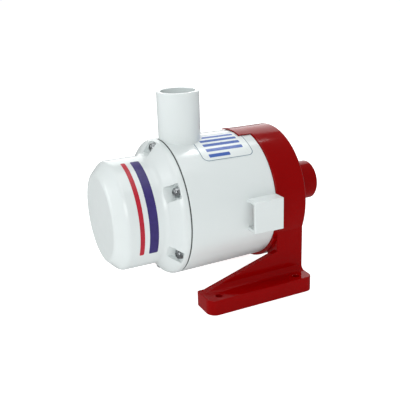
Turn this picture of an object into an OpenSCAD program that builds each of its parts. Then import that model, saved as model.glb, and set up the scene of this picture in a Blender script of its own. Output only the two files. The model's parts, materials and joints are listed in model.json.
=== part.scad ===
// Electric centrifugal washdown and livewell pump, end suction, on its own bracket base.
// The origin is the centre of the four mounting holes, on the underside of the feet.
// +Z is up. The pump axis runs along Y: the motor cap is at -Y and the inlet at +Y.

/* [Base] */
// Height of the pump axis above the mounting surface
axis_h = 81.5; // [76:0.5:90]
// Spacing of the mounting holes across the pump
hole_dx = 133; // [131:0.5:135]
// Spacing of the mounting holes along the pump
hole_dy = 80; // [70:1:88]
// Radius of a mounting hole
hole_r = 3; // [2.5:0.1:3.5]
// Thickness of the feet
foot_t = 14.5; // [10:0.5:16]
// Outer half width of the two feet
foot_out = 75; // [74:0.5:80]
// Outer half width of the legs
leg_out = 56.6; // [55:0.1:58]
// Thickness of a leg and of its long web
web_t = 6; // [5:0.5:7]
// Place of the front tip of the feet
foot_front = -53; // [-56:0.5:-50]
// Place of the rear face of the base
base_rear = 53.5; // [50:0.5:56]
// Outer radius of the base ring
ring_r = 62; // [61.5:0.1:63]
// Width of the base ring
ring_w = 31; // [29:0.5:33]
// Thickness of the base ring's back plate
back_t = 4.5; // [4:0.5:6]

/* [Hose spigots] */
// Outer radius of both spigots, for a 38 mm hose
spigot_r = 19; // [18:0.1:20]
// Inner radius of both spigots
spigot_bore = 15.5; // [14:0.1:16]
// Length of the inlet spigot behind the base
inlet_len = 42.5; // [38:0.5:48]
// Height of the outlet's mouth above the pump axis
outlet_up = 104; // [100:0.5:108]
// Place of the outlet's axis behind the seam
outlet_back = 19; // [18.5:0.1:21]

/* [Housing] */
// Length of the visible housing, from the seam to the base ring
housing_len = 83.5; // [82:0.5:86]
// Outer radius of the housing at the seam
seam_r = 62; // [61.5:0.1:62.5]
// Outer radius of the housing at the base ring
rear_r = 60.7; // [60.3:0.1:61]
// Wall of the housing
wall = 3.5; // [3:0.1:4]
// Height of a latch guide
guide_h = 29; // [26:1:32]
// Length of a latch guide
guide_len = 29; // [26:1:32]
// Distance of a latch guide's outer face from the axis
guide_out = 72.8; // [72:0.1:74]

/* [Motor cap] */
// Length of the cap in front of the seam
cap_len = 61; // [58:1:66]
// Outer radius of the cap
cap_r = 49.2; // [48.8:0.1:49.6]
// Radius of the cap's front edge
cap_edge = 14; // [10:1:16]
// Number of cap screws
screw_n = 6; // [6]
// Radius of the circle of cap screws
screw_pcd_r = 56; // [55.5:0.1:56.5]

/* [Motor] */
// Radius of the motor shaft
shaft_r = 4; // [3.5:0.1:4.5]
// Radius of the armature core
core_r = 31.5; // [30:0.5:32]
// Number of armature slots
slot_n = 12; // [8:1:12]
// Radius of the impeller
impeller_r = 44; // [40:1:48]
// Number of impeller vanes
vane_n = 6; // [5:1:7]

/* [Hidden] */
$fn = 96;
run = 0.03;         // radial clearance of a running fit
slip = 0.3;         // clearance between parts that slide apart
gasket_t = 1;
on_skin = 0.06;      // how far a label lies above the plastic
ring_gap = 0.2;      // between the housing's shoulder and the base ring
ring_front = base_rear - ring_w;
seam = ring_front - housing_len;
cap_front = seam - cap_len;
outlet_y = seam + outlet_back;
web_in = leg_out - web_t;
hole_x = hole_dx / 2;
hole_y = hole_dy / 2;

// Base ring's inside
socket_r = 57.2;
socket_len = 16;
chamber_r = 54;
saddle_r = ring_r + 1.5;
// Height of a web's top edge at its front tip and at the leg
web_low = 14;
web_high = 38;
leg_front = ring_front + 3.5;
tongue_half = 16;
tongue_len = 13.5;
tongue_in = 61.3;
tongue_out = 62.6;

// Latch arms, which turn on pins held in the ring
latch_pin_x = 59;
latch_pin_y = ring_front + 2.6;
latch_pin_r = 1;
latch_barrel_r = 1.6;
latch_half = 8;
latch_tip = ring_front - 22;
guide_wall = 3;
latch_step = 2.6;      // how far an arm's step stands in front of the ring

// Housing's inside
spigot_out = socket_r - slip;
spigot_in = 52;
spigot_len = 14.5;
front_wall = 4;
rear_step = 5.5;
outlet_root_r = spigot_r - 1;
outlet_from = seam_r + 0.3;
case_flange_r = 50.2;
case_flange_t = 3;
boss_r = 4.8;
boss_len = 12;
pilot_r = 2.45;
o_ring_r = 1.6;
o_ring_y = ring_front + 8;

// Cap flange: a rim, an outer round, a cone and a hollow round into the cap
rim_w = 2.5;
flange_round = 8;
cone_a = 50;
pocket_floor = 5.5;
pocket_half = 6.8;
pocket_in = 50.4;
cap_wall = 3;
screw_clear = 2.6;
screw_shank = 2.4;
screw_head_r = 4.75;
screw_head_h = 4.6;
screw_len = 15;

// Motor, placed from the seam
case_r = 45;
case_wall = 2.5;
case_back = seam + 76;
can_r = 42;
can_wall = 2.5;
can_front = seam - 44;
can_back = seam + 70;
magnet_out = 39.3;
magnet_in = 32.7;
magnet_a = 62;
core_front = seam - 12;
core_back = seam + 44;
comm_r = 12;
comm_front = seam - 37;
comm_back = seam - 24;
brush_y = seam - 30.5;
brush_w = 6;
brush_l = 9;
plate_front = seam - 41;
bush_r = 7;
shaft_front = seam - 51;
shaft_back = seam + 107;
seal_front = seam + 76;
seal_back = seam + 85;
seal_r = 11;
nose_r = 14;
nose_back = seam + 86;
guide_plate = seam + 80;
impeller_front = seam + 88.5;
impeller_back = seam + 104;
impeller_disc = 2.5;
gland_y = seam - 32;
gland_r = 9;
gland_seat = cap_r + 1;
gland_stem_r = 5.95;

// Places children with their +Z along the pump axis, from the station y
module on_axis(y) {
    translate([0, y, axis_h]) rotate([-90, 0, 0]) children();
}

// A ring or a tube along the pump axis
module tube(y0, y1, outer, inner) {
    on_axis(y0) difference() {
        cylinder(h = y1 - y0, r = outer);
        translate([0, 0, -1]) cylinder(h = y1 - y0 + 2, r = inner);
    }
}

// A plain round along the pump axis
module rod(y0, y1, r) {
    on_axis(y0) cylinder(h = y1 - y0, r = r);
}

// Children repeated round the pump axis, starting straight up
module around(n) {
    for (i = [0 : n - 1])
        translate([0, 0, axis_h]) rotate([0, i * 360 / n, 0]) translate([0, 0, -axis_h]) children();
}

module both_sides() {
    children();
    mirror([1, 0, 0]) children();
}

// Outer radius of the housing at a station behind the seam
function body_r(back) = seam_r
    - (seam_r - rear_r) * (back - gasket_t / 2) / (housing_len - gasket_t / 2 - ring_gap);

// ---------- base ----------

// Plan of one foot: a bar with a well rounded outer front corner
module foot_plan() {
    front_round = 9;
    rear_round = 7;
    difference() {
        translate([web_in - 2, foot_front])
            square([foot_out - web_in + 2, base_rear - foot_front]);
        translate([foot_out - front_round, foot_front + front_round]) difference() {
            translate([0, -front_round - 1]) square(front_round + 1);
            circle(front_round);
        }
        translate([foot_out - rear_round, base_rear - rear_round]) difference() {
            square(rear_round + 1);
            circle(rear_round);
        }
    }
}

// Side outline of the long web, as y and z
module web_side() {
    polygon([[foot_front, 0], [foot_front, web_low], [leg_front, web_high],
        [base_rear, web_high], [base_rear, 0]]);
}

// Extrudes a side outline across x0 to x1
module across(x0, x1) {
    translate([x0, 0, 0]) rotate([90, 0, 90]) linear_extrude(x1 - x0) children();
}

module leg_and_foot() {
    fillet = 6;
    linear_extrude(foot_t) foot_plan();
    across(web_in, leg_out) web_side();
    // hollow round between the web and the foot
    intersection() {
        translate([0, base_rear, 0]) rotate([90, 0, 0]) linear_extrude(base_rear - foot_front)
            difference() {
                translate([leg_out - 1, foot_t - 1]) square(fillet + 1);
                translate([leg_out + fillet, foot_t + fillet]) circle(fillet);
            }
        across(web_in, foot_out) web_side();
    }
    // leg that carries the ring, wider towards the ring
    difference() {
        translate([0, base_rear, 0]) rotate([90, 0, 0]) linear_extrude(base_rear - leg_front)
            polygon([[web_in - 2, 0], [web_in - 2, 14], [36, 34], [36, 60],
                [leg_out, 60], [leg_out, 0]]);
        rod(leg_front - 1, base_rear + 1, ring_r - 1);
    }
}

module ring_shell() {
    rod(ring_front, base_rear, ring_r);
    // thicker underside between the legs
    intersection() {
        rod(ring_front, base_rear, saddle_r);
        translate([-leg_out, ring_front, 0]) cube([2 * leg_out, ring_w, axis_h - 30]);
    }
    // locating tongue over the housing
    intersection() {
        tube(ring_front - tongue_len, ring_front + 1, tongue_out, tongue_in);
        translate([-tongue_half, ring_front - tongue_len, axis_h]) cube([2 * tongue_half, 40, 80]);
    }
    rod(base_rear - 1, base_rear + 1.5, spigot_r + 3);
    rod(base_rear, base_rear + inlet_len, spigot_r);
}

// Pocket for a latch arm's barrel, open forwards and into the socket, with the pin's hole
module latch_slot() {
    translate([latch_pin_x - 3, ring_front - 1, axis_h - latch_half - slip])
        cube([3 + latch_barrel_r + 0.2, 6, 2 * (latch_half + slip)]);
    translate([latch_pin_x, latch_pin_y, axis_h - latch_half - 4])
        cylinder(h = 2 * latch_half + 8, r = latch_pin_r + 0.02);
}

module pump_base() {
    color("firebrick") difference() {
        union() {
            ring_shell();
            both_sides() leg_and_foot();
        }
        rod(ring_front - 1, ring_front + socket_len, socket_r);
        rod(ring_front, base_rear - back_t, chamber_r);
        rod(base_rear - back_t - 1, base_rear + inlet_len + 1, spigot_bore);
        both_sides() latch_slot();
        for (x = [-hole_x, hole_x], y = [-hole_y, hole_y])
            translate([x, y, -1]) cylinder(h = foot_t + 2, r = hole_r);
    }
}

// One latch arm: a barrel on its pin, a step outwards and a springy arm with a round nose
module latch_arm() {
    arm_t = 2.4;
    arm_in = 62;
    tip_r = 1.2;
    link = 1.3;
    difference() {
        union() {
            translate([latch_pin_x, latch_pin_y, axis_h - latch_half])
                cylinder(h = 2 * latch_half, r = latch_barrel_r);
            translate([latch_pin_x - link, ring_front - latch_step, axis_h - latch_half])
                cube([arm_in - latch_pin_x + arm_t + link, latch_step - 0.4, 2 * latch_half]);
            translate([latch_pin_x - link, ring_front - latch_step, axis_h - latch_half])
                cube([2 * link, latch_pin_y - ring_front + latch_step, 2 * latch_half]);
            translate([arm_in, latch_tip, axis_h - latch_half])
                cube([arm_t, ring_front - latch_tip - 0.4, 2 * latch_half]);
            translate([arm_in + arm_t, latch_tip + tip_r, axis_h - latch_half])
                cylinder(h = 2 * latch_half, r = tip_r);
        }
        translate([latch_pin_x, latch_pin_y, axis_h - latch_half - 1])
            cylinder(h = 2 * latch_half + 2, r = latch_pin_r + run);
    }
}

module latch_arm_right() { color("firebrick") latch_arm(); }

module latch_arm_left() { color("firebrick") mirror([1, 0, 0]) latch_arm(); }

module latch_pins() {
    color("silver") both_sides()
        translate([latch_pin_x, latch_pin_y, axis_h - latch_half - 3.5])
            cylinder(h = 2 * latch_half + 7, r = latch_pin_r);
}

// ---------- housing ----------

module housing_solid() {
    on_axis(seam + gasket_t / 2)
        cylinder(h = housing_len - gasket_t / 2 - ring_gap, r1 = seam_r, r2 = rear_r);
    rod(ring_front - 1, ring_front + spigot_len, spigot_out);
    // outlet: a narrower root inside the housing's wall and the hose's full round above it
    translate([0, outlet_y, axis_h]) cylinder(h = outlet_up, r = outlet_root_r);
    translate([0, outlet_y, axis_h + outlet_from]) cylinder(h = outlet_up - outlet_from, r = spigot_r);
}

module water_space() {
    // round the motor case
    on_axis(seam + front_wall)
        cylinder(h = housing_len - front_wall - rear_step, r1 = seam_r - wall, r2 = rear_r - wall);
    rod(seam + front_wall, ring_front + spigot_len + 1, spigot_in);
    // seat of the motor case
    rod(seam - 1, seam + front_wall + 1, case_r + 0.2);
    rod(seam - 1, seam + gasket_t / 2 + case_flange_t, case_flange_r + 0.2);
    translate([0, outlet_y, axis_h + 45]) cylinder(h = outlet_up, r = spigot_bore - 1);
    translate([0, outlet_y, axis_h + seam_r + 2]) cylinder(h = outlet_up, r = spigot_bore);
}

module screw_bosses() {
    around(screw_n) translate([0, seam + front_wall - 1, axis_h + screw_pcd_r])
        rotate([-90, 0, 0]) cylinder(h = boss_len - front_wall + 1, r = boss_r);
}

module latch_guide() {
    side = guide_h / 2;
    reach = guide_out - 55;
    difference() {
        translate([55, ring_front - guide_len, axis_h - side])
            cube([reach, guide_len - ring_gap, guide_h]);
        rod(seam, ring_front + 1, rear_r - 1);
        translate([0, ring_front - guide_len - 1, axis_h - side + guide_wall])
            cube([guide_out - guide_wall, guide_len + 2, guide_h - 2 * guide_wall]);
    }
}

module pump_housing() {
    color("whitesmoke") difference() {
        union() {
            difference() {
                housing_solid();
                water_space();
            }
            screw_bosses();
            both_sides() latch_guide();
        }
        around(screw_n) translate([0, seam - 1, axis_h + screw_pcd_r])
            rotate([-90, 0, 0]) cylinder(h = boss_len, r = pilot_r);
        // notches that the latch arms pass through, under their guides
        both_sides() translate([latch_pin_x - 2, ring_front - latch_step - 0.5,
                axis_h - latch_half - slip])
            cube([5, latch_step + 0.6, 2 * (latch_half + slip)]);
        // groove of the O-ring
        tube(o_ring_y - o_ring_r - 0.2, o_ring_y + o_ring_r + 0.2, spigot_out + 1,
            spigot_out + 0.2 - 2 * o_ring_r);
    }
}

module housing_o_ring() {
    color("dimgray") on_axis(o_ring_y) rotate_extrude()
        translate([spigot_out + 0.2 - o_ring_r, 0]) circle(o_ring_r, $fn = 32);
}

// ---------- cap ----------

function arc_points(x, y, r, from, to, steps) = [for (i = [0 : steps])
    let (a = from + (to - from) * i / steps)
    [x + r * cos(a), y + r * sin(a)]];

// Half section of the cap's outside: x is the radius and y the distance in front of the seam
module cap_outline() {
    outer_x = seam_r - flange_round;
    top_r = outer_x + flange_round * cos(cone_a);
    top_y = rim_w + flange_round * sin(cone_a);
    hollow_x = cap_r + flange_round;
    low_r = hollow_x - flange_round * cos(cone_a);
    low_y = top_y + (top_r - low_r) * tan(90 - cone_a);
    neck_y = low_y + flange_round * sin(cone_a);
    polygon(concat([[0, gasket_t / 2], [seam_r, gasket_t / 2]],
        arc_points(outer_x, rim_w, flange_round, 0, cone_a, 8),
        arc_points(hollow_x, neck_y, flange_round, 180 + cone_a, 180, 8),
        arc_points(cap_r - cap_edge, cap_len - cap_edge, cap_edge, 0, 90, 16),
        [[0, cap_len]]));
}

module cap_inside() {
    hollow_r = cap_r - cap_wall;
    edge = cap_edge - cap_wall;
    polygon(concat([[0, -1], [hollow_r, -1]],
        arc_points(hollow_r - edge, cap_len - cap_edge, edge, 0, 90, 12),
        [[0, cap_len - cap_wall]]));
}

// Turns a half section that is drawn forwards from the seam
module turned_forward() {
    translate([0, seam, axis_h]) rotate([90, 0, 0]) rotate_extrude() children();
}

module motor_cap() {
    color("whitesmoke") difference() {
        union() {
            turned_forward() cap_outline();
            translate([-gland_seat, gland_y, axis_h]) rotate([0, 90, 0])
                cylinder(h = 6, r = gland_r + 2);
        }
        turned_forward() cap_inside();
        // flat-walled screw pockets, open outwards
        around(screw_n) {
            translate([-pocket_half, seam - 30, axis_h + pocket_in])
                cube([2 * pocket_half, 30 - pocket_floor, 20]);
            translate([0, seam - 20, axis_h + screw_pcd_r]) rotate([-90, 0, 0])
                cylinder(h = 21, r = screw_clear);
        }
        translate([-cap_r + 6, gland_y, axis_h]) rotate([0, -90, 0])
            cylinder(h = 12, r = gland_stem_r + 0.05);
    }
}

module cap_gasket() {
    color("dimgray") difference() {
        tube(seam - gasket_t / 2, seam + gasket_t / 2, seam_r - 0.2, cap_r - cap_wall);
        around(screw_n) translate([0, seam - 2, axis_h + screw_pcd_r])
            rotate([-90, 0, 0]) cylinder(h = 4, r = screw_clear);
    }
}

module cap_screw() {
    rotate([-90, 0, 0]) difference() {
        union() {
            cylinder(h = screw_len, r = screw_shank);
            translate([0, 0, -screw_head_h + 1]) cylinder(h = screw_head_h - 1, r = screw_head_r);
            translate([0, 0, -screw_head_h])
                cylinder(h = 1, r1 = screw_head_r - 1, r2 = screw_head_r);
        }
        // cross recess
        for (a = [0, 90])
            rotate([0, 0, a]) translate([-2.6, -0.5, -screw_head_h - 1]) cube([5.2, 1, 2.6]);
    }
}

module cap_screws() {
    color("gray") around(screw_n)
        translate([0, seam - pocket_floor, axis_h + screw_pcd_r]) cap_screw();
}

// A thin curved sheet between two stations and two angles above the +X side
module curved_sheet(back0, back1, r0, r1, low, high, thick) {
    translate([0, seam, axis_h]) rotate([-90, 0, 0]) rotate([0, 0, -high])
        rotate_extrude(angle = high - low)
            polygon([[r0, back0], [r0 + thick, back0], [r1 + thick, back1], [r1, back1]]);
}

module body_label() {
    back0 = 23;
    back1 = 74.5;
    color("white") difference() {
        curved_sheet(back0, back1, body_r(back0) + on_skin, body_r(back1) + on_skin,
            49.5, 86, 0.2);
        translate([0, outlet_y, axis_h]) cylinder(h = seam_r + 1, r = spigot_r + 0.8);
    }
}

module cap_decal() {
    color("navy") curved_sheet(-46.5, -22, cap_r + on_skin, cap_r + on_skin, -30, 80, 0.15);
}

module gland_body() {
    half_flats = 8;
    color("dimgray") translate([-gland_seat - 5, gland_y, axis_h]) rotate([0, 90, 0]) difference() {
        union() {
            cylinder(h = 5, r = gland_r + 1);
            cylinder(h = 12.6, r = gland_stem_r);
        }
        translate([0, 0, -1]) cylinder(h = 20, r = 3.6);
        translate([0, 0, -1]) cylinder(h = 4, r = 5);
        // two spanner flats
        for (s = [-1, 1])
            translate([s * (half_flats + 5) - 5, -20, -1]) cube([10, 40, 4.5]);
    }
}

module gland_nut() {
    color("dimgray") translate([-cap_r + cap_wall + 1.2, gland_y, axis_h]) rotate([0, 90, 0])
        difference() {
            cylinder(h = 2.4, r = 9.5, $fn = 6);
            translate([0, 0, -1]) cylinder(h = 6, r = gland_stem_r + 0.05);
        }
}

module gland_seal() {
    color("black") translate([-gland_seat - 5.6, gland_y, axis_h]) rotate([0, 90, 0]) difference() {
        cylinder(h = 3.4, r = 4.95);
        for (s = [-1, 1]) translate([0, s * 1.9, -1]) cylinder(h = 6, r = 1.3);
    }
}

// ---------- motor, inside ----------

module motor_case() {
    color("lightgray") difference() {
        union() {
            tube(seam + gasket_t / 2, case_back, case_r, case_r - case_wall);
            tube(seam + gasket_t / 2, seam + gasket_t / 2 + case_flange_t, case_flange_r,
                case_r - case_wall);
            rod(case_back - 2, case_back + 2, case_r);
            rod(case_back, nose_back, nose_r);
        }
        rod(case_back - 3, nose_back + 1, shaft_r + 1.5);
        rod(seal_front, nose_back + 1, seal_r);
        around(3) translate([0, case_back - 1.6, axis_h + 30]) rotate([-90, 0, 0])
            cylinder(h = 5, r = 1.25);
    }
}

module motor_can() {
    color("gray") difference() {
        union() {
            tube(can_front, can_back, can_r, can_r - can_wall);
            rod(can_back - can_wall, can_back, can_r - 1);
            rod(can_back - 6, can_back + 3.5, bush_r + 3);
        }
        rod(can_back - 7, can_back + 4, bush_r);
        for (a = [0, 180]) translate([0, 0, axis_h]) rotate([0, a, 0])
            translate([0, can_back - 4, 36]) rotate([-90, 0, 0]) cylinder(h = 8, r = 2.05);
    }
}

module magnets() {
    color("dimgray") for (a = [0, 180])
        translate([0, core_front - 2, axis_h]) rotate([-90, 0, 0]) rotate([0, 0, a - magnet_a])
            rotate_extrude(angle = 2 * magnet_a) translate([magnet_in, 0])
                square([magnet_out - magnet_in, core_back - core_front + 4]);
}

module end_bell() {
    color("silver") difference() {
        union() {
            rod(can_front - 3, can_front, can_r);
            rod(can_front, can_front + 3, can_r - can_wall - 0.05);
            rod(can_front - 8, can_front + 3, bush_r + 3);
        }
        rod(can_front - 9, can_front + 4, bush_r);
        for (a = [0, 180]) translate([0, 0, axis_h]) rotate([0, a, 0])
            translate([0, can_front - 4, 36]) rotate([-90, 0, 0]) cylinder(h = 9, r = 2.05);
        // two lead holes
        for (x = [-20, 20])
            translate([x, can_front - 4, axis_h]) rotate([-90, 0, 0]) cylinder(h = 9, r = 3);
    }
}

module brush_plate() {
    color("saddlebrown") difference() {
        tube(plate_front, plate_front + 2, can_r - can_wall - 0.1, comm_r + 3);
        for (a = [0, 180]) translate([0, 0, axis_h]) rotate([0, a, 0])
            translate([0, plate_front - 1, 36]) rotate([-90, 0, 0]) cylinder(h = 4, r = 2.2);
    }
}

module brush_holders() {
    shell = 1;
    color("goldenrod") both_sides() difference() {
        translate([comm_r + 2.5, plate_front + 2, axis_h - brush_w / 2 - shell])
            cube([22, brush_y + brush_l / 2 + shell - plate_front - 2, brush_w + 2 * shell]);
        translate([comm_r, brush_y - brush_l / 2 - 0.05, axis_h - brush_w / 2 - 0.05])
            cube([comm_r + 11.5, brush_l + 0.1, brush_w + 0.1]);
    }
}

module brushes() {
    color("black") both_sides() difference() {
        translate([comm_r - 2, brush_y - brush_l / 2, axis_h - brush_w / 2])
            cube([14, brush_l, brush_w]);
        rod(comm_front - 1, comm_back + 1, comm_r + 0.05);
    }
}

// Sweeps a round wire of radius wire along a spring of the given radius, pitch and turns
function coil_point(r, pitch, t) = [r * cos(360 * t), r * sin(360 * t), pitch * t];
function coil_ring(r, pitch, t, wire, sides) = [for (k = [0 : sides - 1])
    let (a = 360 * k / sides, c = 360 * t)
    coil_point(r, pitch, t) + wire * [cos(a) * cos(c), cos(a) * sin(c), sin(a)]];

module coil(r, wire, pitch, turns) {
    sides = 8;
    per_turn = 16;
    rings = turns * per_turn;
    points = [for (i = [0 : rings]) each coil_ring(r, pitch, i / per_turn, wire, sides)];
    skin = [for (i = [0 : rings - 1], k = [0 : sides - 1])
        let (n = (k + 1) % sides)
        [i * sides + k, (i + 1) * sides + k, (i + 1) * sides + n, i * sides + n]];
    start = [[for (k = [0 : sides - 1]) k]];
    finish = [[for (k = [sides - 1 : -1 : 0]) rings * sides + k]];
    polyhedron(points, concat(start, skin, finish));
}

module brush_springs() {
    color("silver") both_sides()
        translate([comm_r + 12.6, brush_y, axis_h]) rotate([0, 90, 0]) coil(2.2, 0.4, 2, 4);
}

module through_bolts() {
    color("silver") for (a = [0, 180]) translate([0, 0, axis_h]) rotate([0, a, 0])
        translate([0, can_front - 3, 36]) rotate([-90, 0, 0]) {
            cylinder(h = can_back - can_front + 3, r = 2);
            translate([0, 0, -3]) cylinder(h = 3, r = 3.6);
        }
}

module bushing(y0, y1) {
    color("darkgoldenrod") tube(y0, y1, bush_r, shaft_r + run);
}

module front_bushing() { bushing(can_front - 8, can_front + 2); }

module rear_bushing() { bushing(can_back - 6, can_back + 3.5); }

module shaft_seals() {
    half = (seal_back - seal_front) / 2;
    color("black") for (i = [0, 1])
        on_axis(seal_front + i * half) rotate_extrude() difference() {
            translate([shaft_r + 0.06, 0.1]) square([seal_r - shaft_r - 0.06, half - 0.2]);
            translate([shaft_r + 1.6, 2]) square([2.6, half]);
        }
}

module seal_retainer() {
    color("silver") tube(seal_back, nose_back, seal_r, shaft_r + 0.8);
}

module guide_vane_plate() {
    vanes = 8;
    color("lightgray") difference() {
        union() {
            tube(case_back + 2, guide_plate + 1.5, case_r, nose_r + 0.2);
            around(vanes) translate([0, case_back + 2, axis_h + case_r - 1])
                rotate([0, 0, 20]) translate([-1, 0, 0]) cube([2, 7, spigot_in - case_r + 0.4]);
        }
        around(3) translate([0, case_back, axis_h + 30]) rotate([-90, 0, 0])
            cylinder(h = 12, r = 1.7);
        around(3) translate([0, guide_plate - 0.2, axis_h + 30]) rotate([-90, 0, 0])
            cylinder(h = 4, r = 3.1);
    }
}

module guide_plate_screws() {
    color("silver") around(3) translate([0, guide_plate - 0.2, axis_h + 30])
        rotate([90, 0, 0]) {
            cylinder(h = 5, r = 1.2);
            translate([0, 0, -1.4]) cylinder(h = 1.4, r = 2.8);
        }
}

// ---------- rotor ----------

module motor_shaft() {
    color("silver") {
        rod(shaft_front, impeller_back, shaft_r);
        rod(impeller_back - 1, shaft_back, shaft_r - 1);
    }
}

module armature_core() {
    slot_w = 3;
    color("slategray") difference() {
        rod(core_front, core_back, core_r);
        rod(core_front - 1, core_back + 1, shaft_r);
        around(slot_n) {
            translate([-slot_w / 2, core_front - 1, axis_h + 22])
                cube([slot_w, core_back - core_front + 2, 20]);
            translate([0, core_front - 1, axis_h + 22]) rotate([-90, 0, 0])
                cylinder(h = core_back - core_front + 2, r = 4);
        }
    }
}

// Coils: a round bundle in each slot and a full ring of end turns at each end
module armature_windings() {
    bundle = 3.6;
    end_turn = 9;
    color("chocolate") {
        around(slot_n) translate([0, core_front - 2, axis_h + 22]) rotate([-90, 0, 0])
            cylinder(h = core_back - core_front + 4, r = bundle, $fn = 24);
        for (y = [core_front - end_turn, core_back + 0.2]) on_axis(y) rotate_extrude()
            translate([10, 0]) polygon([[2, 0], [14, 0], [17, 3], [17, end_turn - 3.2],
                [14, end_turn - 0.2], [0, end_turn - 0.2], [0, 2]]);
    }
}

module commutator() {
    color("peru") difference() {
        tube(comm_front, comm_back, comm_r, shaft_r);
        around(slot_n) translate([-0.3, comm_front - 1, axis_h + comm_r - 1.5])
            cube([0.6, comm_back - comm_front - 2, 3]);
    }
}

module thrust_washers() {
    color("darkgoldenrod") {
        tube(can_front + 2.1, can_front + 3.3, shaft_r + 2.5, shaft_r);
        tube(can_back - 7.3, can_back - 6.1, shaft_r + 2.5, shaft_r);
    }
}

// Backward-curved vanes on a disc, open towards the inlet
module impeller() {
    vane_t = 2.2;
    curve = 34;
    hub = 10;
    color("black") difference() {
        union() {
            rod(impeller_front, impeller_front + impeller_disc, impeller_r);
            rod(impeller_front, impeller_back, hub);
            intersection() {
                around(vane_n) on_axis(impeller_front) translate([0, -27, 0])
                    rotate([0, 0, 30]) difference() {
                        translate([curve - 8, 0, 0]) cylinder(h = 15.5, r = curve);
                        translate([curve - 8, 0, -1]) cylinder(h = 18, r = curve - vane_t);
                        translate([0, -90, -1]) cube([120, 90, 20]);
                        translate([curve - 8, -60, -1]) cube([120, 120, 20]);
                    }
                tube(impeller_front, impeller_back - 1, impeller_r, hub - 2);
            }
        }
        rod(impeller_front - 1, impeller_back + 1, shaft_r);
    }
}

module impeller_nut() {
    color("silver") difference() {
        union() {
            rod(impeller_back, impeller_back + 0.8, 7);
            on_axis(impeller_back + 0.8) cylinder(h = 3.2, r = 5.8, $fn = 6);
        }
        rod(impeller_back - 1, shaft_back + 1, shaft_r - 1);
    }
}

pump_base();
latch_arm_right();
latch_arm_left();
latch_pins();
pump_housing();
housing_o_ring();
motor_cap();
cap_gasket();
cap_screws();
body_label();
cap_decal();
gland_body();
gland_nut();
gland_seal();
motor_case();
motor_can();
magnets();
end_bell();
brush_plate();
brush_holders();
brushes();
brush_springs();
through_bolts();
front_bushing();
rear_bushing();
shaft_seals();
seal_retainer();
guide_vane_plate();
guide_plate_screws();
motor_shaft();
armature_core();
armature_windings();
commutator();
thrust_washers();
impeller();
impeller_nut();
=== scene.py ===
"""Visual model of an electric centrifugal washdown pump on its red bracket base.

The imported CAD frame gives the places. Shapes are worked out in millimetres in the row
frame, with the pump axis along Y, and a piece turns into metres when it is finished.
"""
import json
import math

import bmesh
import bpy
from mathutils import Matrix, Vector


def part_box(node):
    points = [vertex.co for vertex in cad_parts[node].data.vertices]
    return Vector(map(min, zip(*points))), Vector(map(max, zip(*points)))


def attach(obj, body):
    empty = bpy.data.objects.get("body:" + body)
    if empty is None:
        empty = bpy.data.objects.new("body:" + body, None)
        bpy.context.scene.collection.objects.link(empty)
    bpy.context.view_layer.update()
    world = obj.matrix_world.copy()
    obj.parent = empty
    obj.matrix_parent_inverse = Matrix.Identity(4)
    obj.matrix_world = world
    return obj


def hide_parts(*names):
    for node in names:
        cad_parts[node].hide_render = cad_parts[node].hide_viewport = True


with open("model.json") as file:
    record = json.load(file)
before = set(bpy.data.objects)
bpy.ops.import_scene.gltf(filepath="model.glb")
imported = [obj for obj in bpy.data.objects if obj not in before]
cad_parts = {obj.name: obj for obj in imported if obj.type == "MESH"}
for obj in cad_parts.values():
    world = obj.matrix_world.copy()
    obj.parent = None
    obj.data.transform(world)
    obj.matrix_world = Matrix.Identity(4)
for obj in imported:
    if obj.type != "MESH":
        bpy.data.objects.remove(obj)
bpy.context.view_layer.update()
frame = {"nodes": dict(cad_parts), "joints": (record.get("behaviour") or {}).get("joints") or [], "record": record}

# ---------- driving dimensions, in millimetres ----------

MM = 0.001


def node_box(name):
    """Lowest and highest corner of a CAD node, in millimetres."""
    low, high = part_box(name)
    return low / MM, high / MM


base_low, base_high = node_box("pump_base")
housing_high = node_box("pump_housing")[1]
cap_low, cap_high = node_box("motor_cap")
gasket_low, gasket_high = node_box("cap_gasket")

SPIN = next(joint for joint in frame["joints"] if joint["name"] == "rotor_spin")
AXIS_Z = SPIN["pos_m"][2] / MM
SEAM = (gasket_low.y + gasket_high.y) / 2
SEAM_R = cap_high.x
GASKET = gasket_high.y - gasket_low.y
CAP_FRONT = cap_low.y
CAP_R = 49.2
CAP_WALL = 3
CAP_EDGE = 10
CAP_EDGE_ROUND = 7
FLANGE_ROUND = 8
RIM = 2.5
CONE = math.radians(50)

BASE_REAR = 53.5
RING_FRONT = BASE_REAR - 31
RING_R = 62
BACK_PLATE = 4.5
SOCKET_R = 57.2
SOCKET_LENGTH = 16
CHAMBER_R = 54
SPIGOT_R = 19
SPIGOT_BORE = 15.5
SPIGOT_END = base_high.y
TONGUE_HALF = 16

FOOT_FRONT = base_low.y
FOOT_OUT = base_high.x
FOOT_TOP = 14.5
LEG_OUT = 56.6
LEG_IN = LEG_OUT - 8
LEG_FRONT = RING_FRONT + 3.5
LEG_LOW = 0.5
WEB_IN = 50.6
WEB_TOE = 14
WEB_TOP = 38
HOLE_X = 66.5
HOLE_Y = 40
HOLE_R = 3

HOUSING_FRONT = SEAM + GASKET / 2
HOUSING_REAR = RING_FRONT - 0.2
HOUSING_REAR_R = 60.7
HOUSING_END = housing_high.y
WALL = 3.5
OUTLET_Y = SEAM + 19
OUTLET_TOP = housing_high.z
GUIDE_OUT = housing_high.x
GUIDE_HALF = 14.5
GUIDE_WALL = 3
GUIDE_FRONT = RING_FRONT - 29
LATCH_HALF = 8.3

SCREW_COUNT = 6
SCREW_CIRCLE = 56
SCREW_CLEAR = 2.6
SCREW_PILOT = 2.45
SCREW_BOSS = 4.8
POCKET_FLOOR = 5.5
POCKET_HALF = 6.8
POCKET_IN = 50.4
GLAND_Y = SEAM - 32
GLAND_BOSS_R = 11
GLAND_HOLE_R = 6

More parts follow.
